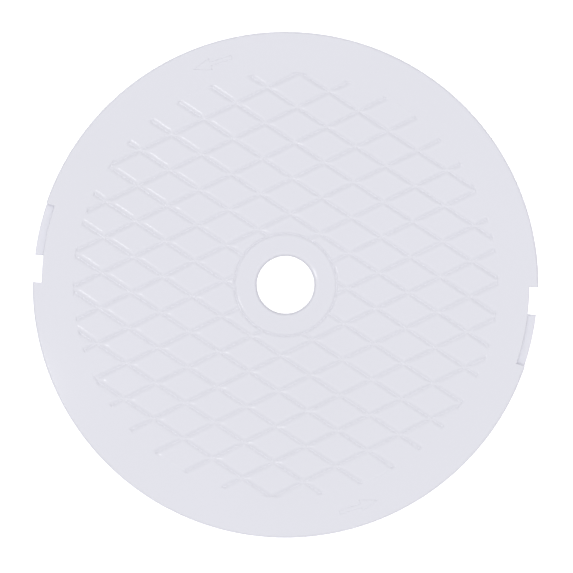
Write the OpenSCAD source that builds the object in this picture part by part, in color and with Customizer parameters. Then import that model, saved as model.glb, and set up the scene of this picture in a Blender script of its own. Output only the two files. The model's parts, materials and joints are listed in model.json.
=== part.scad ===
// Round twist-lock deck lid with a diamond tread and a finger hole.
// Origin: centre of the skirt's lower edge. +Z runs up through the finger hole,
// and X runs through the two lock notches.

/* [Lid] */
// Outside diameter of the lid
lid_d = 250; // [205:1:310]
// Height from the skirt's lower edge to the walking surface
lid_h = 16; // [13.5:0.5:24]
// Thickness of the walking deck
deck_t = 3.2; // [2.4:0.1:5]

/* [Rim] */
// Width of the plain border, from the lid's edge to the end of the tread
border_w = 19.8; // [18:0.1:30]
// Plain strip of the deck piece between the tread's end and the rim piece
tread_gap = 1.8; // [0.5:0.1:3]
// Drop of the flange that sits on the collar, below the deck's underside
flange_drop = 2.8; // [2:0.1:6]
// Radius on the flange's upper edge
edge_r = 1.3; // [0.5:0.1:2]

/* [Twist lock] */
// Width of each notch through the edge
notch_w = 13.4; // [8:0.1:20]
// Depth of the notches and ledges, from the lid's edge inwards
lock_depth = 4.6; // [3:0.1:6]
// Angle that each ledge covers, clockwise of its notch
ledge_arc = 12; // [8:0.5:20]
// Thickness of each ledge
ledge_t = 3; // [1.5:0.1:3.5]
// Length of the lead-in slope at each ledge's notch end
lead_l = 1.6; // [0.8:0.1:3]

/* [Tread] */
// Spacing of the grooves, measured across them
tread_pitch = 15.2; // [10:0.1:24]
// Angle of both groove families to the X axis
tread_angle = 30; // [20:1:40]
// Width of a groove at the walking surface
groove_w = 3.4; // [1.4:0.1:3.6]
// Width of a groove's floor
groove_floor_w = 0.6; // [0.4:0.1:1.3]
// Depth of a groove
groove_depth = 0.6; // [0.4:0.1:1.4]

/* [Finger hole] */
// Diameter of the finger hole
hole_d = 28.6; // [20:0.1:36]
// Width of the plain pad, from the hole's wall to the middle of its seam groove
pad_w = 10.9; // [7:0.1:16]
// Wall of the tube under the pad
tube_wall = 3.6; // [2:0.1:5]
// Depth that the tube reaches below the deck
tube_drop = 8; // [4:0.5:8]
// Radius on the hole's upper edge
hole_edge_r = 2.2; // [0.5:0.1:2.5]
// Width of the seam groove round the pad
seam_w = 2.2; // [0.8:0.1:2.4]
// Depth of the seam groove
seam_depth = 0.4; // [0.3:0.1:1.2]

/* [Skirt] */
// Gap between the back wall of the notches and the skirt's outer face
skirt_gap = 0.9; // [0.3:0.1:2]
// Thickness of the skirt
skirt_t = 2.5; // [1.8:0.1:3.5]
// Height of the skirt's root, which is one with the rim
skirt_root = 0.5; // [0.2:0.1:2]

/* [Ribs] */
// Thickness of every rib
rib_t = 2; // [1.4:0.1:3]
// Height of every rib, below the deck
rib_h = 6; // [3:0.1:8]
// Diameter of the inner ring rib, at its middle
inner_ring_d = 92; // [80:1:110]
// Diameter of the outer ring rib, at its middle
outer_ring_d = 162; // [130:1:170]

/* [Arrows] */
// Height of the arrows above the walking surface
arrow_h = 0.2; // [0.1:0.05:0.8]
// Length of an arrow, head included
arrow_l = 20; // [12:0.5:30]
// Length of an arrow's head
arrow_head_l = 9; // [5:0.5:11]
// Width of an arrow's head
arrow_head_w = 6; // [4:0.1:8]
// Width of an arrow's shaft
arrow_shaft_w = 2; // [1:0.1:3]
// Distance from the lid's edge to the middle line of the arrows
arrow_inset = 10; // [8:0.1:12]
// Angle from the left notch to the upper arrow, clockwise
arrow_at = 68; // [40:1:80]

/* [Hidden] */
$fn = 180;
eps = 0.5;                               // overrun of a cutting tool past a face
rib_count = 12;                          // one node each, so it follows NODES
lid_r = lid_d / 2;
deck_low = lid_h - deck_t;               // underside of the deck
flange_low = deck_low - flange_drop;     // underside of the flange
flange_t = lid_h - flange_low;
root_low = flange_low - skirt_root;      // split line between the rim and the skirt
ledge_top = flange_low + ledge_t;
tread_r = lid_r - border_w;
rim_in_r = tread_r + tread_gap;
lock_r = lid_r - lock_depth;             // radius of the notch and ledge back walls
skirt_out_r = lock_r - skirt_gap;
skirt_in_r = skirt_out_r - skirt_t;
hole_r = hole_d / 2;
pad_r = hole_r + pad_w;
tube_out_r = hole_r + tube_wall;
tube_low = deck_low - tube_drop;
notch_half = asin(notch_w / lid_d);      // half of the angle that a notch covers at the edge
tread_lines = floor(tread_r / tread_pitch);
rib_step = 360 / rib_count;
arrow_r = lid_r - arrow_inset;
plastic = [0.90, 0.90, 0.93];
plastic_low = [0.84, 0.85, 0.89];

// Flat ring between two radii and two heights
module ring(r_in, r_out, z_low, z_high) {
    translate([0, 0, z_low]) difference() {
        cylinder(r = r_out, h = z_high - z_low);
        translate([0, 0, -eps]) cylinder(r = r_in, h = z_high - z_low + 2 * eps);
    }
}

// Quarter-round outline that an edge of radius r keeps, from its centre
module quarter_round(r) {
    intersection() {
        circle(r = r, $fn = 48);
        square(r);
    }
}

// One tread groove along X, as a cutter
module groove_cutter(len) {
    over_w = (groove_w - groove_floor_w) * eps / groove_depth;
    rotate([90, 0, 90]) translate([0, 0, -len / 2]) linear_extrude(len)
        polygon([[-groove_floor_w / 2, -groove_depth], [groove_floor_w / 2, -groove_depth],
                 [(groove_w + over_w) / 2, eps], [-(groove_w + over_w) / 2, eps]]);
}

// Both families of grooves, still unclipped
module tread_grooves() {
    for (side = [-1, 1], i = [-tread_lines : tread_lines])
        rotate([0, 0, side * tread_angle]) translate([0, i * tread_pitch, 0])
            groove_cutter(2 * sqrt(tread_r * tread_r - pow(i * tread_pitch, 2)) + groove_w);
}

// Outline of a ledge or notch as seen from above, between two angles
module lock_sector(from, to) {
    reach = 2 * lid_r;
    difference() {
        polygon([[0, 0], [reach * cos(from), reach * sin(from)], [reach * cos(to), reach * sin(to)]]);
        circle(r = lock_r);
    }
}

module deck_plate() {
    color(plastic) difference() {
        rotate_extrude() polygon([[pad_r, deck_low], [rim_in_r, deck_low], [rim_in_r, lid_h],
                                  [pad_r + seam_w / 2, lid_h], [pad_r, lid_h - seam_depth]]);
        translate([0, 0, lid_h]) intersection() {
            tread_grooves();
            cylinder(r = tread_r, h = 4 * groove_depth, center = true);
        }
    }
}

module finger_hole_boss() {
    color(plastic) rotate_extrude() union() {
        polygon([[hole_r, tube_low], [tube_out_r, tube_low], [tube_out_r, deck_low], [pad_r, deck_low],
                 [pad_r, lid_h - seam_depth], [pad_r - seam_w / 2, lid_h],
                 [hole_r + hole_edge_r, lid_h], [hole_r + hole_edge_r, lid_h - hole_edge_r],
                 [hole_r, lid_h - hole_edge_r]]);
        translate([hole_r + hole_edge_r, lid_h - hole_edge_r]) mirror([1, 0]) quarter_round(hole_edge_r);
    }
}

module rim_band() {
    color(plastic) difference() {
        rotate_extrude() union() {
            polygon([[rim_in_r, deck_low], [skirt_in_r, deck_low], [skirt_in_r, root_low],
                     [skirt_out_r, root_low], [skirt_out_r, flange_low], [lid_r, flange_low],
                     [lid_r, lid_h - edge_r], [lid_r - edge_r, lid_h - edge_r],
                     [lid_r - edge_r, lid_h], [rim_in_r, lid_h]]);
            translate([lid_r - edge_r, lid_h - edge_r]) quarter_round(edge_r);
        }
        for (turn = [0, 180]) rotate([0, 0, turn])
            translate([0, 0, flange_low - eps]) linear_extrude(flange_t + 2 * eps) {
                difference() {
                    translate([0, -notch_w / 2]) square([2 * lid_r, notch_w]);
                    circle(r = lock_r);
                }
                lock_sector(-notch_half - ledge_arc, -notch_half);
            }
    }
}

// Recessed shelf clockwise of a notch, with a sloped lead-in at the notch end
module lock_ledge() {
    color(plastic_low) difference() {
        intersection() {
            ring(lock_r, lid_r, flange_low, ledge_top);
            translate([0, 0, flange_low - eps]) linear_extrude(flange_t) difference() {
                lock_sector(-notch_half - ledge_arc, -notch_half);
                translate([0, -notch_w / 2]) square([2 * lid_r, notch_w]);
            }
        }
        translate([0, -notch_w / 2, ledge_top]) rotate([0, 90, 0]) linear_extrude(2 * lid_r)
            polygon([[lead_l / 2, eps], [lead_l / 2, 0], [0, -lead_l], [-eps, -lead_l], [-eps, eps]]);
    }
}

// Plain raised arrow that points counter-clockwise
module turn_arrow() {
    tail = arrow_head_l - arrow_l;
    color(plastic) rotate([0, 0, 180 - arrow_at]) translate([arrow_r, 0, lid_h]) rotate([0, 0, 90])
        linear_extrude(arrow_h) translate([-(arrow_head_l + tail) / 2, 0])
            polygon([[tail, -arrow_shaft_w / 2], [0, -arrow_shaft_w / 2], [0, -arrow_head_w / 2],
                     [arrow_head_l, 0], [0, arrow_head_w / 2], [0, arrow_shaft_w / 2],
                     [tail, arrow_shaft_w / 2]]);
}

module locating_skirt() {
    color(plastic_low) ring(skirt_in_r, skirt_out_r, 0, root_low);
}

// Ring rib in arcs, let in between the radial ribs
module ring_rib(ring_d) {
    color(plastic_low) difference() {
        ring(ring_d / 2 - rib_t / 2, ring_d / 2 + rib_t / 2, deck_low - rib_h, deck_low);
        for (i = [0 : rib_count - 1]) rotate([0, 0, (i + 0.5) * rib_step])
            translate([0, -rib_t / 2, deck_low - rib_h - eps]) cube([lid_r, rib_t, rib_h + 2 * eps]);
    }
}

// Radial rib from the tube to the skirt; the first stands half a step past +X
module radial_rib(number) {
    color(plastic_low) intersection() {
        rotate([0, 0, (number - 0.5) * rib_step]) translate([0, -rib_t / 2, deck_low - rib_h])
            cube([lid_r, rib_t, rib_h]);
        ring(tube_out_r, skirt_in_r, deck_low - rib_h - eps, deck_low + eps);
    }
}

deck_plate();
finger_hole_boss();
rim_band();
lock_ledge();  // lock_ledge_right
rotate([0, 0, 180]) lock_ledge();  // lock_ledge_left
turn_arrow();  // turn_arrow_top
rotate([0, 0, 180]) turn_arrow();  // turn_arrow_bottom
locating_skirt();
ring_rib(inner_ring_d);  // inner_ring_rib
ring_rib(outer_ring_d);  // outer_ring_rib
radial_rib(1);  // radial_rib_01
radial_rib(2);  // radial_rib_02
radial_rib(3);  // radial_rib_03
radial_rib(4);  // radial_rib_04
radial_rib(5);  // radial_rib_05
radial_rib(6);  // radial_rib_06
radial_rib(7);  // radial_rib_07
radial_rib(8);  // radial_rib_08
radial_rib(9);  // radial_rib_09
radial_rib(10);  // radial_rib_10
radial_rib(11);  // radial_rib_11
radial_rib(12);  // radial_rib_12
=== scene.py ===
import bpy
import json
import math
import numpy as np
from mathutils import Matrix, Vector
from mathutils.geometry import delaunay_2d_cdt, tessellate_polygon


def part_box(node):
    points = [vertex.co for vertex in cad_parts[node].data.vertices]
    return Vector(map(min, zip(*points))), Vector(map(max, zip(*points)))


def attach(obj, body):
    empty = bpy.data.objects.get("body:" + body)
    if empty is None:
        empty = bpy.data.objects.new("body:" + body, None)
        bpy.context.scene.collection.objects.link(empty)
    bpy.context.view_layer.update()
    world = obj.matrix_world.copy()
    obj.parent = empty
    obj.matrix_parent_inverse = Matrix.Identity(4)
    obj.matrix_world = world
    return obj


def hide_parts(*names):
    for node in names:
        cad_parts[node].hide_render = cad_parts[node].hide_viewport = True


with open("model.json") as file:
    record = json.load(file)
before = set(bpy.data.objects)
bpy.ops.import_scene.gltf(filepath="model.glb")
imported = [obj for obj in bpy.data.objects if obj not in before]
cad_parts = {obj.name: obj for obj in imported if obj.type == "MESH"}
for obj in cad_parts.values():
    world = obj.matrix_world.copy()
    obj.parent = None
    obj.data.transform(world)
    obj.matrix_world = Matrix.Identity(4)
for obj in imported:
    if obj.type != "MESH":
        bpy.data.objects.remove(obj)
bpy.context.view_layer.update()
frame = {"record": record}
mounts = {m["name"]: m for m in frame["record"]["mounts"]}

# heights and radii that the lid already has
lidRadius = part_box("rim_band")[1].y
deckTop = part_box("deck_plate")[1].z
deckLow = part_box("deck_plate")[0].z
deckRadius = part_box("deck_plate")[1].y
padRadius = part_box("finger_hole_boss")[1].y
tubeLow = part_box("finger_hole_boss")[0].z
flangeLow = mounts["collar_seat"]["pos_m"][2]
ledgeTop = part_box("lock_ledge_right")[1].z
skirtRadius = mounts["skirt_spigot"]["dims"]["r_mm"] / 1000
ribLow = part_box("radial_rib_01")[0].z
holeRadius = mounts["finger_hole"]["dims"]["r_mm"] / 1000


def makeObject(name, points, faces, normals):
    # normals: one for each corner of each face
    mesh = bpy.data.meshes.new(name)
    mesh.from_pydata([tuple(p) for p in points], [], [tuple(f) for f in faces])
    mesh.polygons.foreach_set("use_smooth", [True] * len(mesh.polygons))
    mesh.normals_split_custom_set([tuple(n) for n in normals])
    mesh.update()
    piece = bpy.data.objects.new(name, mesh)
    bpy.context.scene.collection.objects.link(piece)
    return piece


def filletPath(corners, arcStep=15):
    # closed outline of straight sides and rounded corners; each side keeps its own end normals
    # arcStep: degrees between the points of a corner
    points, starts, ends = [], [], []
    rounded = []
    count = len(corners)
    for i, (x, y, radius) in enumerate(corners):
        here = np.array((x, y), float)
        before = here - np.array(corners[i - 1][:2], float)
        after = np.array(corners[(i + 1) % count][:2], float) - here
        before /= np.hypot(*before)
        after /= np.hypot(*after)
        turn = math.atan2(before[0] * after[1] - before[1] * after[0], before @ after)
        if radius <= 0 or abs(turn) < 1e-6:
            rounded.append([(here, None)])
            continue
        reach = radius * math.tan(abs(turn) / 2)
        side = 1 if turn > 0 else -1
        centre = here - before * reach + side * radius * np.array((-before[1], before[0]))
        first = math.atan2(*(here - before * reach - centre)[::-1])
        steps = max(3, round(abs(turn) / math.radians(arcStep)))
        arc = []
        for k in range(steps + 1):
            angle = first + turn * k / steps
            out = np.array((math.cos(angle), math.sin(angle)))
            arc.append((centre + radius * out, out * side))
        rounded.append(arc)
    flat = [item for arc in rounded for item in arc]
    arcEnd = []
    for arc in rounded:
        arcEnd += [False] * (len(arc) - 1) + [True]
    total = len(flat)
    for i in range(total):
        here, out = flat[i]
        there, outNext = flat[(i + 1) % total]
        side = there - here
        side = side / max(np.hypot(*side), 1e-12)
        straight = np.array((side[1], -side[0]))
        points.append(here)
        if arcEnd[i]:
            starts.append(straight)
            ends.append(straight)
        else:
            starts.append(out)
            ends.append(outNext)
    return np.array(points), np.array(starts), np.array(ends)


def lathe(name, corners, segments):
    # corners are (radius, height, rounding), counter-clockwise in the section
    path, starts, ends = filletPath(corners)
    count = len(path)
    points, faces, normals = [], [], []
    turns = [2 * math.pi * k / segments for k in range(segments)]
    for a in turns:
        points += [(r * math.cos(a), r * math.sin(a), z) for r, z in path]
    for k in range(segments):
        nextK = (k + 1) % segments
        for i in range(count):
            j = (i + 1) % count
            faces.append((k * count + i, nextK * count + i, nextK * count + j, k * count + j))
            for turn, out in ((k, starts[i]), (nextK, starts[i]), (nextK, ends[i]), (k, ends[i])):
                a = turns[turn]
                normals.append((out[0] * math.cos(a), out[0] * math.sin(a), out[1]))
    return makeObject(name, points, faces, normals)


def circlePoints(radius, count):
    angles = np.arange(count) * 2 * math.pi / count
    return np.stack([radius * np.cos(angles), radius * np.sin(angles)], 1)


# the walking deck: two families of soft grooves leave a field of diamonds
deck = {
    "grooveSpacing": 0.0152,     # across the grooves
    "grooveAngle": 30.0,         # both families, to X
    "grooveWidth": 0.0056,       # over its soft shoulders
    "grooveDepth": 0.00062,
    "shoulder": 2.0,             # how late the sides grow steep
    "floorRound": 0.10,          # share of the half width
    "wideCorner": 0.45,          # plan rounding of the diamonds' wide corners, in half widths
    "sharpCorner": 0.65,
    "endRounding": 0.8,          # plan rounding of the groove ends, in half widths
    "endLength": 0.0016,         # slope at the groove ends
    "treadRadius": 0.1056,       # where the grooves end
    "seamWidth": 0.0034,         # circular groove round the pad
    "seamDepth": 0.00050,
    "normalStep": 0.00002,       # over which a slope is measured
    "padSegments": 384,
    "endSegments": 1080,
    "edgeSegments": 720,
    # mesh lines beside a groove's middle line, and circles beside the seam's, in half widths
    "gridShares": (0, 0.04, 0.08, 0.12, 0.2, 0.3, 0.42, 0.56, 0.7, 0.85, 1.0, 1.25, 1.9),
    "seamShares": (0, 0.05, 0.12, 0.2, 0.32, 0.45, 0.6, 0.75, 0.9, 1.0),
    "seamLand": 1.25,            # last circle, on the flat
    "endSteps": (0.0028, 0.0024, 0.0020, 0.0016, 0.0012, 0.0008, 0.0004, 0.0002, 0, -0.0003),
    "gridGaps": (0.0004, 0.0030),    # kept free of grid points beside the seam and the tread's end
}


def grooveShape(share):
    # shallow shoulders that grow steeper towards a small round floor; 0 at the edge, 1 at the middle line
    share = np.clip(share, 0, 1)
    floor = deck["floorRound"]
    steep = deck["shoulder"]
    bend = np.maximum(share - 1 + floor, 0)
    return share ** steep - steep * bend ** 2 / (2 * floor)


def deckHeight(x, y):
    # shares run from 0 at a groove's edge to 1 at its middle line
    pitch = deck["grooveSpacing"]
    half = deck["grooveWidth"] / 2
    angle = math.radians(deck["grooveAngle"])
    across = [x * -math.sin(angle) + y * math.cos(angle), x * math.sin(angle) + y * math.cos(angle)]
    offset = [(np.mod(a / pitch, 1) - 0.5) * pitch for a in across]
    shares = [(np.abs(o) - pitch / 2) / half + 1 for o in offset]
    deeper = np.maximum(*shares)
    # the diamonds' corners are rounded where the two grooves are about as deep
    blend = np.where(offset[0] * offset[1] > 0, deck["wideCorner"], deck["sharpCorner"])
    bump = np.maximum(blend - np.abs(shares[0] - shares[1]), 0) ** 2 / (4 * blend)
    share = deeper + bump * np.clip(2 * (1 - deeper), 0, 1)
    fromCentre = np.hypot(x, y)
    atEnd = (deck["treadRadius"] - fromCentre) / deck["endLength"]
    ends = deck["endRounding"]
    u, v = ends - share, ends - atEnd
    share = np.where((u > 0) & (v > 0), ends - np.hypot(u, v), np.minimum(share, atEnd))
    inSeam = 1 - np.abs(fromCentre - padRadius) / (deck["seamWidth"] / 2)
    return -np.maximum(deck["grooveDepth"] * grooveShape(share), deck["seamDepth"] * grooveShape(inSeam))


def deckNormals(x, y):
    step = deck["normalStep"]
    slopeX = (deckHeight(x + step, y) - deckHeight(x - step, y)) / (2 * step)
    slopeY = (deckHeight(x, y + step) - deckHeight(x, y - step)) / (2 * step)
    normals = np.stack([-slopeX, -slopeY, np.ones_like(slopeX)], 1)
    return normals / np.linalg.norm(normals, axis=1)[:, None]


def triangulateRing(loops, grid, gridEdges):
    # loops are closed circles, the inner one first; what lies within the inner one is left open
    starts = np.cumsum([0] + [len(loop) for loop in loops])
    edges = []
    for start, loop in zip(starts, loops):
        edges += [(start + i, start + (i + 1) % len(loop)) for i in range(len(loop))]
    edges += [(starts[-1] + i, starts[-1] + j) for i, j in gridEdges]
    points = np.concatenate(loops + [grid])
    edges = [(int(i), int(j)) for i, j in edges]
    found = delaunay_2d_cdt([Vector(p) for p in points], edges, [], 0, 1e-9)
    flat = np.array([tuple(p) for p in found[0]])
    triangles = np.array(found[2])
    source = np.array([o[0] if o else -1 for o in found[3]])
    hole = np.all(source[triangles] < len(loops[0]), axis=1)
    return flat, triangles[~hole], source


def grooveGrid():
    # points on lines that run along both families, closest together where the sides bend
    pitch, half = deck["grooveSpacing"], deck["grooveWidth"] / 2
    lines = int(deck["treadRadius"] // pitch) + 1
    shares = deck["gridShares"]
    steps = sorted({s * half for s in shares} | {-s * half for s in shares} | {pitch / 2})
    marks = np.array([k * pitch + s for k in range(-lines, lines + 1) for s in steps])
    angle = math.radians(deck["grooveAngle"])
    u, v = np.meshgrid(marks, marks, indexing="ij")
    grid = np.stack([(v - u) / (2 * math.sin(angle)), (v + u) / (2 * math.cos(angle))], 2)
    fromCentre = np.hypot(grid[..., 0], grid[..., 1])
    seamEdge = padRadius + deck["seamWidth"] / 2
    seamGap, endGap = deck["gridGaps"]
    keep = (fromCentre > seamEdge + seamGap) & (fromCentre < deck["treadRadius"] - endGap)
    place = np.where(keep, np.cumsum(keep).reshape(keep.shape) - 1, -1)
    edges = []
    for first, second in ((place[:-1], place[1:]), (place[:, :-1], place[:, 1:])):
        both = (first >= 0) & (second >= 0)
        edges += list(zip(first[both], second[both]))
    return grid[keep], edges


def buildDeck():
    grid, gridEdges = grooveGrid()
    half = deck["seamWidth"] / 2
    shares = deck["seamShares"] + (deck["seamLand"],)
    loops = [circlePoints(padRadius + s * half, deck["padSegments"]) for s in shares]
    loops += [circlePoints(deck["treadRadius"] - s, deck["endSegments"]) for s in deck["endSteps"]]
    loops += [circlePoints(deckRadius, deck["edgeSegments"])]
    flat, triangles, source = triangulateRing(loops, grid, gridEdges)
    height = deckHeight(flat[:, 0], flat[:, 1])
    top = np.column_stack([flat, deckTop + height])
    topNormals = deckNormals(flat[:, 0], flat[:, 1])
    points = [tuple(p) for p in top]
    faces = [tuple(t) for t in triangles]
    normals = [tuple(topNormals[i]) for t in triangles for i in t]

    # underside and the two hidden walls, from the same circle points
    place = {s: i for i, s in enumerate(source)}
    innerTop = [place[i] for i in range(deck["padSegments"])]
    outerStart = sum(len(l) for l in loops[:-1])
    outerTop = [place[outerStart + i] for i in range(deck["edgeSegments"])]
    base = len(points)
    points += [(top[i][0], top[i][1], deckLow) for i in innerTop + outerTop]
    innerLow = list(range(base, base + len(innerTop)))
    outerLow = list(range(base + len(innerTop), len(points)))
    for topLoop, lowLoop, side in ((innerTop, innerLow, -1), (outerTop, outerLow, 1)):
        count = len(topLoop)
        for i in range(count):
            j = (i + 1) % count
            face = (lowLoop[i], lowLoop[j], topLoop[j], topLoop[i])
            out = [side * np.array((*points[c][:2], 0)) / np.hypot(*points[c][:2]) for c in face]
            if side < 0:
                face, out = face[::-1], out[::-1]
            faces.append(face)
            normals += [tuple(o) for o in out]
    rings = [[Vector(points[i]) for i in outerLow], [Vector(points[i]) for i in innerLow]]
    order = outerLow + innerLow
    for t in tessellate_polygon(rings):
        a, b, c = (order[i] for i in t)
        ab = np.subtract(points[b], points[a])
        ac = np.subtract(points[c], points[a])
        face = (a, b, c) if ab[0] * ac[1] - ab[1] * ac[0] < 0 else (a, c, b)
        faces.append(face)
        normals += [(0, 0, -1)] * 3
    return makeObject("treadDeck", points, faces, normals)


treadDeck = buildDeck()
print("deck:", len(treadDeck.data.polygons), "faces")

# plain pad in the middle, with the finger hole and its tube
pad = {
    "holeEdge": 0.0013,
    "shoulder": 0.0022,          # gentle slope beyond the hole's round edge
    "shoulderFall": 0.0003,
    "shoulderRound": 0.005,
    "lowEdge": 0.0004,           # at the tube's foot
    "wall": 0.0036,              # of the tube
    "rootFillet": 0.0010,        # between tube and deck
}


def buildPad():
    half = deck["seamWidth"] / 2
    outer = holeRadius + pad["wall"]
    shares = deck["seamShares"]
    depth = [deck["seamDepth"] * float(grooveShape(1 - s)) for s in shares]
    seam = [(padRadius - s * half, deckTop - d, 0) for s, d in zip(shares, depth)]
    corners = [(holeRadius, tubeLow, pad["lowEdge"]), (outer, tubeLow, pad["lowEdge"]),
               (outer, deckLow, pad["rootFillet"]), (padRadius, deckLow, 0)]
    corners += seam
    corners += [(holeRadius + pad["shoulder"], deckTop, pad["shoulderRound"]),
                (holeRadius, deckTop - pad["shoulderFall"], pad["holeEdge"])]
    return lathe("fingerHolePad", corners, deck["padSegments"])


fingerHolePad = buildPad()
print("pad done")

# rim, ledges and arrows are flat pieces with rounded edges
slab = {
    "arcStep": 0.5,              # degrees between the points of an arc
    # rings down a rounded edge, in shares of its radius
    "edgeShares": (0, 0.01, 0.04, 0.085, 0.15, 0.25, 0.38, 0.55, 0.77, 1),
    "lowShares": (1, 0.5, 0.2, 0.05, 0),
    "straightTurn": 0.05,        # below this turn two sides count as one line
    "slimTriangle": 1e-14,       # twice the area below which a cap leaves a triangle out
}

rim = {
    "notchWidth": 0.0134,
    "lockDepth": 0.0046,
    "ledgeArc": 12.0,            # degrees, clockwise of each notch
    "outerEdge": 0.0013,         # rounding of the outer edge
    "lockEdge": 0.00045,         # rounding along the notches and ledge recesses
    "lowEdge": 0.0005,
}

skirt = {
    "wall": 0.0025,
    "footInner": 0.0005,
    "footOuter": 0.0009,
}


def onCircle(radius, angle):
    return (radius * math.cos(math.radians(angle)), radius * math.sin(math.radians(angle)))


def arcPoints(radius, fromAngle, toAngle):
    count = max(1, round(abs(toAngle - fromAngle) / slab["arcStep"]))
    return [onCircle(radius, fromAngle + (toAngle - fromAngle) * k / count) for k in range(count + 1)]


def roundedSlab(name, sides, low, top, innerLoop=None, lowRound=0.0, spread=1.0):
    # sides: runs of points counter-clockwise, each with its edge rounding and whether its normals fan out
    outline, outStart, outEnd, rounding = [], [], [], []
    for points, radius, curved in sides:
        for i in range(len(points) - 1):
            a, b = np.array(points[i]), np.array(points[i + 1])
            along = (b - a) / np.hypot(*(b - a))
            straight = np.array((along[1], -along[0]))
            outline.append(a)
            if curved:
                sign = 1 if straight @ a > 0 else -1
                outStart.append(sign * a / np.hypot(*a))
                outEnd.append(sign * b / np.hypot(*b))
            else:
                outStart.append(straight)
                outEnd.append(straight)
            rounding.append(radius)
    outline = np.array(outline)
    count = len(outline)
    largest = max(rounding)
    depths = [largest * s for s in slab["edgeShares"]] if largest > 0 else [0]

    def inset(radius, depth):
        if depth >= radius:
            return 0.0
        return spread * (radius - math.sqrt(max(radius ** 2 - (radius - depth) ** 2, 0)))

    def ringAt(depthOf):
        ring = []
        for i in range(count):
            n1, n2 = outEnd[i - 1], outStart[i]
            d1, d2 = depthOf(rounding[i - 1]), depthOf(rounding[i])
            cross = n1[0] * n2[1] - n1[1] * n2[0]
            if abs(cross) < slab["straightTurn"]:
                move = (n1 + n2) / np.hypot(*(n1 + n2)) * max(d1, d2)
            else:
                move = np.array((d1 * n2[1] - d2 * n1[1], n1[0] * d2 - n2[0] * d1)) / cross
            ring.append(outline[i] - move)
        return ring

    # each ring: its points, height, depth below the edge, and whether it belongs to the upper or lower edge
    rings = [(ringAt(lambda r: inset(r, d)), top - d, d, 1) for d in depths]
    lowDepths = [lowRound * s for s in slab["lowShares"]] if lowRound > 0 else [0]
    rings += [(ringAt(lambda r: inset(min(lowRound, r), d)), low + d, d, -1) for d in lowDepths]
    points, faces, normals = [], [], []
    for ring in rings:
        points += [(p[0], p[1], ring[1]) for p in ring[0]]

    def tilted(out, radius, depth, way):
        radius = radius if way > 0 else min(lowRound, radius)
        if depth >= radius:
            return (out[0], out[1], 0)
        up = 1 - depth / radius
        flat = math.sqrt(max(1 - up * up, 0)) / spread
        size = math.hypot(flat, up)
        return (out[0] * flat / size, out[1] * flat / size, up * way / size)

    for k in range(len(rings) - 1):
        upper, lower = rings[k], rings[k + 1]
        for i in range(count):
            j = (i + 1) % count
            faces.append(((k + 1) * count + i, (k + 1) * count + j, k * count + j, k * count + i))
            radius = rounding[i]
            start, end = outStart[i], outEnd[i]
            for out, ring in ((start, lower), (end, lower), (end, upper), (start, upper)):
                normals.append(tilted(out, radius, ring[2], ring[3]))

    def cap(loopStart, innerIndices, up):
        outerIndices = list(range(loopStart, loopStart + count))
        loops = [[Vector(points[i]) for i in outerIndices]]
        order = outerIndices + list(innerIndices)
        if innerIndices:
            loops.append([Vector(points[i]) for i in innerIndices])
        for t in tessellate_polygon(loops):
            a, b, c = (order[i] for i in t)
            ab, ac = np.subtract(points[b], points[a]), np.subtract(points[c], points[a])
            turn = ab[0] * ac[1] - ab[1] * ac[0]
            if abs(turn) < slab["slimTriangle"]:
                continue
            faces.append((a, b, c) if turn * up > 0 else (a, c, b))
            normals.extend([(0, 0, up)] * 3)

    lastRing = (len(rings) - 1) * count
    if innerLoop is None:
        cap(0, [], 1)
        cap(lastRing, [], -1)
        return makeObject(name, points, faces, normals)
    # the inner wall goes down in steps: (radius, height) from the top to the underside
    stepStarts = []
    for radius, z in innerLoop:
        stepStarts.append(len(points))
        points += [(p[0], p[1], z) for p in circlePoints(radius, deck["edgeSegments"])]
    size = deck["edgeSegments"]
    cap(0, list(range(stepStarts[0], stepStarts[0] + size)), 1)
    cap(lastRing, list(range(stepStarts[-1], stepStarts[-1] + size)), -1)
    steps = list(zip(stepStarts, innerLoop))
    for (first, upper), (second, lower) in zip(steps, steps[1:]):
        for i in range(size):
            j = (i + 1) % size
            faces.append((first + i, first + j, second + j, second + i))
            for c in (first + i, first + j, second + j, second + i):
                if upper[1] == lower[1]:
                    normals.append((0, 0, -1))
                else:
                    length = math.hypot(*points[c][:2])
                    normals.append((-points[c][0] / length, -points[c][1] / length, 0))
    return makeObject(name, points, faces, normals)


notchHalf = math.degrees(math.asin(rim["notchWidth"] / 2 / lidRadius))
lockRadius = lidRadius - rim["lockDepth"]
backHalf = math.degrees(math.asin(rim["notchWidth"] / 2 / lockRadius))
ledgeFar = notchHalf + rim["ledgeArc"]


def buildRim():
    sides = []
    for turn in (0, 180):
        outer = arcPoints(lidRadius, turn + notchHalf, turn + 180 - ledgeFar)
        back = arcPoints(lockRadius, turn + 180 - ledgeFar, turn + 180 + backHalf)
        following = onCircle(lidRadius, turn + 180 + notchHalf)
        sides.append((outer, rim["outerEdge"], True))
        sides.append(([outer[-1], back[0]], rim["lockEdge"], False))
        sides.append((back, rim["lockEdge"], True))
        sides.append(([back[-1], following], rim["lockEdge"], False))
    skirtInner = skirtRadius - skirt["wall"]
    steps = [(deckRadius, deckTop), (deckRadius, deckLow), (skirtInner, deckLow), (skirtInner, flangeLow)]
    return roundedSlab("rimBand", sides, flangeLow, deckTop, steps, rim["lowEdge"])


rimBand = buildRim()
print("rim:", len(rimBand.data.polygons), "faces")

ledge = {
    "outerEdge": 0.0006,
    "leadIn": 0.0010,            # rounding at the notch end
    "lowEdge": 0.0004,
}


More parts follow.
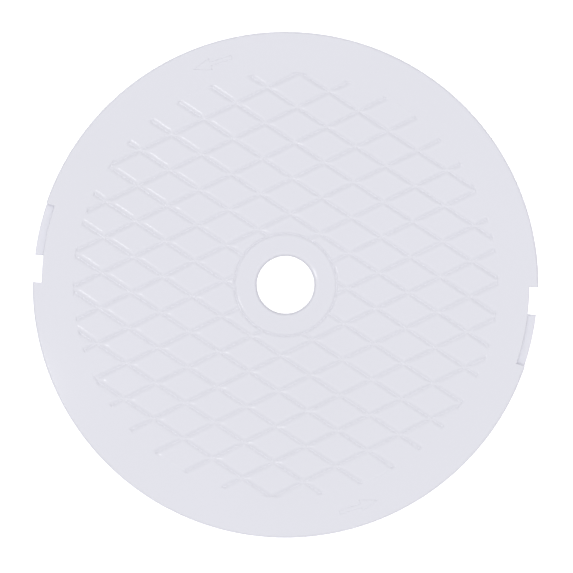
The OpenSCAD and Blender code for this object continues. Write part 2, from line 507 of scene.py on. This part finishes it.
def buildLedge(name, turn):
    outer = arcPoints(lidRadius, turn - ledgeFar, turn - notchHalf)
    inner = arcPoints(lockRadius, turn - backHalf, turn - ledgeFar)
    sides = [(outer, ledge["outerEdge"], True), ([outer[-1], inner[0]], ledge["leadIn"], False),
             (inner, 0.0, True), ([inner[-1], outer[0]], 0.0, False)]
    return roundedSlab(name, sides, flangeLow, ledgeTop, None, ledge["lowEdge"])


ledgeRight = buildLedge("lockLedgeRight", 0)
ledgeLeft = buildLedge("lockLedgeLeft", 180)
print("ledges done")

# low turn arrows on the rim, half a turn apart
arrow = {
    "length": 0.020,
    "headLength": 0.009,
    "headWidth": 0.006,
    "shaftWidth": 0.002,
    "edge": 0.00019,
    "spread": 4.5,               # the edges lie much flatter than a quarter round
    "radius": 0.115,
    "bearing": 112.0,            # of the upper arrow, counter-clockwise from +X
    "sink": 0.0002,              # hidden in the rim
}


def buildArrow(name, cadNode, bearing):
    half, wide = arrow["shaftWidth"] / 2, arrow["headWidth"] / 2
    tail = arrow["headLength"] - arrow["length"]
    middle = (arrow["headLength"] + tail) / 2
    tip = arrow["headLength"]
    outline = [(tail, -half), (0, -half), (0, -wide), (tip, 0), (0, wide), (0, half), (tail, half)]
    turn = math.radians(bearing)
    radial = np.array((math.cos(turn), math.sin(turn)))
    along = np.array((-math.sin(turn), math.cos(turn)))
    placed = [tuple(radial * (arrow["radius"] - y) + along * (x - middle)) for x, y in outline]
    sides = [([placed[i], placed[(i + 1) % len(placed)]], arrow["edge"], False) for i in range(len(placed))]
    return roundedSlab(name, sides, deckTop - arrow["sink"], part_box(cadNode)[1].z, spread=arrow["spread"])


arrowTop = buildArrow("turnArrowTop", "turn_arrow_top", arrow["bearing"])
arrowBottom = buildArrow("turnArrowBottom", "turn_arrow_bottom", arrow["bearing"] + 180)
print("arrows done")


def buildSkirt():
    inner = skirtRadius - skirt["wall"]
    return lathe("locatingSkirt", [(inner, 0, skirt["footInner"]), (skirtRadius, 0, skirt["footOuter"]),
                                   (skirtRadius, flangeLow, 0), (inner, flangeLow, 0)], deck["edgeSegments"])


locatingSkirt = buildSkirt()
print("skirt done")

# stiffening ribs under the deck: two rings and twelve spokes, drafted and filleted as they leave the mould
rib = {
    "rootHalf": 0.0010,
    "tipHalf": 0.0008,
    "tipEdge": 0.0004,
    "rootFillet": 0.0008,
    "sink": 0.00005,             # of the fillet's flat end into the deck
    "bury": 0.0002,              # of the rib's root beyond that
    "ringSegments": 240,
    "innerRing": 0.046,
    "outerRing": 0.081,
    "reach": 0.0003,             # of a spoke's ends into the tube and the skirt
    "count": 12,
}


def ribSection(middle):
    root = deckLow + rib["sink"]
    flare = rib["rootHalf"] + rib["rootFillet"]
    left = [(-flare, root + rib["bury"], 0), (-flare, root, 0), (-rib["rootHalf"], root, rib["rootFillet"]),
            (-rib["tipHalf"], ribLow, rib["tipEdge"])]
    right = [(-x, z, rounding) for x, z, rounding in reversed(left)]
    return [(middle + x, z, rounding) for x, z, rounding in left + right]


def buildSpoke(name, bearing):
    path, starts, ends = filletPath(ribSection(0))
    near = holeRadius + pad["wall"] - rib["reach"]
    far = skirtRadius - skirt["wall"] + rib["reach"]
    turn = math.radians(bearing)

    def placed(x, y, z):
        return (x * math.cos(turn) - y * math.sin(turn), x * math.sin(turn) + y * math.cos(turn), z)

    count = len(path)
    points = [placed(x, y, z) for x in (near, far) for y, z in path]
    faces, normals = [], []
    for i in range(count):
        j = (i + 1) % count
        faces.append((i, j, count + j, count + i))
        normals += [placed(0, *out) for out in (starts[i], ends[i], ends[i], starts[i])]
    faces += [tuple(reversed(range(count))), tuple(range(count, 2 * count))]
    normals += [placed(-1, 0, 0)] * count + [placed(1, 0, 0)] * count
    return makeObject(name, points, faces, normals)


innerRing = lathe("innerRingRib", ribSection(rib["innerRing"]), rib["ringSegments"])
outerRing = lathe("outerRingRib", ribSection(rib["outerRing"]), rib["ringSegments"])
spokeStep = 360 / rib["count"]
spokes = [buildSpoke(f"radialRib{n:02d}", (n - 0.5) * spokeStep) for n in range(1, rib["count"] + 1)]
print("ribs:", 2 + len(spokes))

# each piece stands for its own part of the frame
topPieces = [(treadDeck, "deck_plate"), (fingerHolePad, "finger_hole_boss"), (rimBand, "rim_band"),
             (ledgeRight, "lock_ledge_right"), (ledgeLeft, "lock_ledge_left"),
             (arrowTop, "turn_arrow_top"), (arrowBottom, "turn_arrow_bottom")]
underPieces = [(locatingSkirt, "locating_skirt"), (innerRing, "inner_ring_rib"),
               (outerRing, "outer_ring_rib")]
underPieces += [(spoke, f"radial_rib_{n:02d}") for n, spoke in enumerate(spokes, 1)]
for pieces, slotName in ((topPieces, "lid_gloss"), (underPieces, "lid_satin")):
    for piece, cadNode in pieces:
        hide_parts(cadNode)
        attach(piece, "root")


# small helpers for node trees
def addNode(tree, kind, sockets=None, **settings):
    node = tree.nodes.new(kind)
    for name, value in settings.items():
        setattr(node, name, value)
    for key, value in (sockets or {}).items():
        if isinstance(value, bpy.types.NodeSocket):
            tree.links.new(value, node.inputs[key])
        else:
            node.inputs[key].default_value = value
    return node


def mathNode(tree, operation, first, second=0.0, third=0.0):
    return addNode(tree, "ShaderNodeMath", {0: first, 1: second, 2: third}, operation=operation).outputs[0]


def addNoise(tree, scale, detail=2.0, roughness=0.5, stretched=None):
    # noise in the piece's own coordinates, if stretched then across a bearing by a factor
    place = addNode(tree, "ShaderNodeTexCoord").outputs["Object"]
    if stretched:
        bearing, factor = stretched
        turned = {"Vector": place, "Rotation": (0, 0, bearing), "Scale": (1, factor, 1)}
        place = addNode(tree, "ShaderNodeMapping", turned).outputs[0]
    sockets = {"Vector": place, "Scale": scale, "Detail": detail, "Roughness": roughness}
    return addNode(tree, "ShaderNodeTexNoise", sockets).outputs["Fac"]


def setRamp(ramp, stops, scale):
    # grey ramp whose levels are divided by scale
    elements = ramp.color_ramp.elements
    for at, level in stops[1:-1]:
        elements.new(at)
    for element, (at, level) in zip(elements, stops):
        element.position = at
        element.color = (level / scale, level / scale, level / scale, 1)


def newGroup(name, inputs, outputs):
    tree = bpy.data.node_groups.new(name, "ShaderNodeTree")
    for socketName, kind, value in inputs:
        socket = tree.interface.new_socket(socketName, in_out="INPUT", socket_type=kind)
        socket.default_value = value
    for socketName, kind in outputs:
        tree.interface.new_socket(socketName, in_out="OUTPUT", socket_type=kind)
    return tree, tree.nodes.new("NodeGroupInput").outputs, tree.nodes.new("NodeGroupOutput").inputs


def buildToneDrift():
    # slow drift between two tones, as pigment and wall thickness give in white plastic
    inputs = [("Scale", "NodeSocketFloat", 12.0), ("First", "NodeSocketColor", (1, 1, 1, 1)),
              ("Second", "NodeSocketColor", (0.9, 0.9, 0.9, 1))]
    tree, given, result = newGroup("toneDrift", inputs, [("Color", "NodeSocketColor")])
    slow = addNoise(tree, given["Scale"], detail=3.0, roughness=0.45)
    mask = addNode(tree, "ShaderNodeMapRange", {"Value": slow, "From Min": 0.32, "From Max": 0.68})
    mix = addNode(tree, "ShaderNodeMix", {"Factor": mask.outputs[0]}, data_type="RGBA")
    tree.links.new(given["First"], mix.inputs[6])
    tree.links.new(given["Second"], mix.inputs[7])
    tree.links.new(mix.outputs[2], result["Color"])
    return tree


def buildRubMarks():
    # hair-fine rub marks in two directions, broken up so that they come and go
    inputs = [("Scale", "NodeSocketFloat", 60.0), ("Clean", "NodeSocketFloat", 0.2),
              ("Rubbed", "NodeSocketFloat", 0.3)]
    tree, given, result = newGroup("rubMarks", inputs, [("Roughness", "NodeSocketFloat")])
    marks = []
    for bearing, stretch in ((0.5, 22.0), (2.1, 30.0)):
        fine = addNoise(tree, given["Scale"], stretched=(bearing, stretch))
        mark = addNode(tree, "ShaderNodeMapRange", {"Value": fine, "From Min": 0.60, "From Max": 0.72})
        marks.append(mark.outputs[0])
    broad = addNoise(tree, scale=25.0)
    patch = addNode(tree, "ShaderNodeMapRange", {"Value": broad, "From Min": 0.42, "From Max": 0.62})
    mask = mathNode(tree, "MULTIPLY", mathNode(tree, "MAXIMUM", *marks), patch.outputs[0])
    levels = {"Value": mask, "To Min": given["Clean"], "To Max": given["Rubbed"]}
    mixed = addNode(tree, "ShaderNodeMapRange", levels)
    tree.links.new(mixed.outputs[0], result["Roughness"])
    return tree


def buildMouldSkin():
    # height of the moulded skin: slow sink waves and a fine grain
    inputs = [("Wave", "NodeSocketFloat", 1.0), ("Grain", "NodeSocketFloat", 0.2),
              ("Grain Scale", "NodeSocketFloat", 1500.0)]
    tree, given, result = newGroup("mouldSkin", inputs, [("Height", "NodeSocketFloat")])
    grain = mathNode(tree, "MULTIPLY", addNoise(tree, given["Grain Scale"]), given["Grain"])
    wave = addNoise(tree, scale=40.0, detail=1.0)
    height = mathNode(tree, "MULTIPLY_ADD", wave, given["Wave"], grain)
    tree.links.new(height, result["Height"])
    return tree


toneDrift, rubMarks, mouldSkin = buildToneDrift(), buildRubMarks(), buildMouldSkin()


def useGroup(tree, group, values):
    node = tree.nodes.new("ShaderNodeGroup")
    node.node_tree = group
    for key, value in values.items():
        node.inputs[key].default_value = value
    return node.outputs


def buildPlastic(name, finish):
    material = bpy.data.materials.new(name)
    material.use_nodes = True
    tree = material.node_tree
    shader = tree.nodes["Principled BSDF"]
    shader.inputs["IOR"].default_value = finish["ior"]
    tone = useGroup(tree, toneDrift, {
        "Scale": finish["driftScale"], "First": finish["tone"], "Second": finish["toneLow"]})
    rub = useGroup(tree, rubMarks, {
        "Scale": finish["rubScale"], "Clean": finish["clean"], "Rubbed": finish["rubbed"]})
    skin = useGroup(tree, mouldSkin, {
        "Wave": finish["wave"], "Grain": finish["grain"], "Grain Scale": finish["grainScale"]})
    bump = addNode(tree, "ShaderNodeBump", {
        "Height": skin["Height"], "Strength": finish["bumpStrength"], "Distance": finish["bumpDistance"]})
    tree.links.new(tone["Color"], shader.inputs["Base Color"])
    tree.links.new(rub["Roughness"], shader.inputs["Roughness"])
    tree.links.new(bump.outputs["Normal"], shader.inputs["Normal"])
    return material


glossFinish = {
    "tone": (0.813, 0.812, 0.887, 1),
    "toneLow": (0.805, 0.805, 0.875, 1),
    "driftScale": 9.0,
    "clean": 0.09,               # roughness off and on the rub marks
    "rubbed": 0.15,
    "rubScale": 60.0,
    "wave": 1.0,
    "grain": 0.02,
    "grainScale": 1800.0,
    "bumpStrength": 0.25,
    "bumpDistance": 0.00002,
    "ior": 1.5,
}
satinFinish = {
    "tone": (0.760, 0.760, 0.825, 1),
    "toneLow": (0.735, 0.735, 0.795, 1),
    "driftScale": 14.0,
    "clean": 0.34,
    "rubbed": 0.44,
    "rubScale": 90.0,
    "wave": 0.6,
    "grain": 0.5,
    "grainScale": 2600.0,
    "bumpStrength": 0.5,
    "bumpDistance": 0.00003,
    "ior": 1.5,
}
glossWhite = buildPlastic("polishedWhiteTop", glossFinish)
satinWhite = buildPlastic("satinWhiteUnderside", satinFinish)
for piece, cadNode in topPieces:
    piece.data.materials.append(glossWhite)
for piece, cadNode in underPieces:
    piece.data.materials.append(satinWhite)
print("materials done")

# plain pale floor, which glows a little more towards the camera than towards the lid
stage = {
    "size": 6,
    "tone": (0.9, 0.9, 0.9, 1),
    "roughness": 0.9,
    "glow": 0.25,
    "glowSeen": 0.55,            # added where the camera sees it
}
bpy.ops.mesh.primitive_plane_add(size=stage["size"])
floor = bpy.context.object
floor.name = "paleFloor"
floorWhite = bpy.data.materials.new("floorWhite")
floorWhite.use_nodes = True
floorTree = floorWhite.node_tree
floorShader = floorTree.nodes["Principled BSDF"]
floorShader.inputs["Base Color"].default_value = stage["tone"]
floorShader.inputs["Roughness"].default_value = stage["roughness"]
floorShader.inputs["Emission Color"].default_value = (1, 1, 1, 1)
seen = addNode(floorTree, "ShaderNodeLightPath").outputs["Is Camera Ray"]
floorGlow = mathNode(floorTree, "MULTIPLY_ADD", seen, stage["glowSeen"], stage["glow"])
floorTree.links.new(floorGlow, floorShader.inputs["Emission Strength"])
floor.data.materials.append(floorWhite)

# camera straight above, turned a little against the line through the notches
view = {
    "turn": 3.72,                # degrees
    "across": 0.2831,            # width that the frame covers at the lid
    "lens": 100.0,
    "sensor": 36.0,
    "height": 0.0144,            # level at which that width holds
    "offset": (0.000474, -0.000835),    # of the camera, across and up the frame
}
turn = math.radians(view["turn"])


def inView(x, y, z):
    return Vector((x * math.cos(turn) - y * math.sin(turn), x * math.sin(turn) + y * math.cos(turn), z))


scene = bpy.context.scene
cameraData = bpy.data.cameras.new("camera")
cameraData.lens = view["lens"]
cameraData.sensor_width = view["sensor"]
camera = bpy.data.objects.new("camera", cameraData)
camera.location = inView(*view["offset"], view["height"] + view["across"] * view["lens"] / view["sensor"])
camera.rotation_euler = (0, 0, turn)
scene.collection.objects.link(camera)
scene.camera = camera

# soft studio light: a shaped dome gives nearly all of it, and two weak lamps add the glints
# degrees, metres and watts
lamps = {
    "leftSoftbox": {"bearing": 201.0, "rise": 74.0, "distance": 2.0, "size": 0.20, "power": 0.60},
    "rightSoftbox": {"bearing": 312.0, "rise": 40.0, "distance": 2.0, "size": 0.40, "power": 0.4},
}
for name, lamp in lamps.items():
    data = bpy.data.lights.new(name, "AREA")
    data.shape = "DISK"
    data.size = lamp["size"]
    data.energy = lamp["power"]
    bearing, rise = math.radians(lamp["bearing"]), math.radians(lamp["rise"])
    holder = bpy.data.objects.new(name, data)
    flat = math.cos(rise)
    direction = inView(math.cos(bearing) * flat, math.sin(bearing) * flat, math.sin(rise))
    holder.location = lamp["distance"] * direction
    holder.rotation_euler = (-holder.location).to_track_quat("-Z", "Y").to_euler()
    holder.visible_camera = False
    scene.collection.objects.link(holder)

world = bpy.data.worlds.new("studio")
scene.world = world
world.use_nodes = True
tree = world.node_tree
sky = {
    "strength": 2.41,
    # level by the sine of the elevation: dark walls, a bright ring high up, a little dimmer overhead
    "dome": [(0.0, 0.40), (0.50, 0.47), (0.77, 0.58), (0.87, 0.95), (0.92, 1.45), (0.97, 1.52),
             (0.99, 1.37), (1.0, 1.27)],
    # share of it that is left towards this bearing, by how far a direction leans that way
    "bearing": 40.0,
    "sideways": [(0.0, 1.0), (0.35, 1.02), (0.62, 0.98), (0.86, 0.6), (1.0, 0.5)],
    "rampScale": 2,              # keeps the ramps' colours below 1
    "backdrop": (1, 1, 1, 1),    # what the camera sees past the floor
}
aim = addNode(tree, "ShaderNodeTexCoord").outputs["Generated"]
upward = addNode(tree, "ShaderNodeSeparateXYZ", {0: aim}).outputs["Z"]
glow = addNode(tree, "ShaderNodeValToRGB", {"Fac": upward})
setRamp(glow, sky["dome"], sky["rampScale"])
bearing = math.radians(sky["bearing"])
sideDirection = inView(math.cos(bearing), math.sin(bearing), 0)
toSide = addNode(tree, "ShaderNodeVectorMath", {0: aim, 1: sideDirection}, operation="DOT_PRODUCT")
shade = addNode(tree, "ShaderNodeValToRGB", {"Fac": toSide.outputs["Value"]})
setRamp(shade, sky["sideways"], sky["rampScale"])
strength = mathNode(tree, "MULTIPLY", shade.outputs["Color"], sky["strength"] * sky["rampScale"])
lit = addNode(tree, "ShaderNodeVectorMath", {0: glow.outputs["Color"], "Scale": strength}, operation="SCALE")
seenSky = addNode(tree, "ShaderNodeLightPath").outputs["Is Camera Ray"]
backdrop = addNode(tree, "ShaderNodeMix", {"Factor": seenSky, 7: sky["backdrop"]}, data_type="RGBA")
tree.links.new(lit.outputs["Vector"], backdrop.inputs[6])
tree.links.new(backdrop.outputs[2], tree.nodes["Background"].inputs["Color"])
scene.view_settings.view_transform = "Standard"
print("stage, camera and lights done")
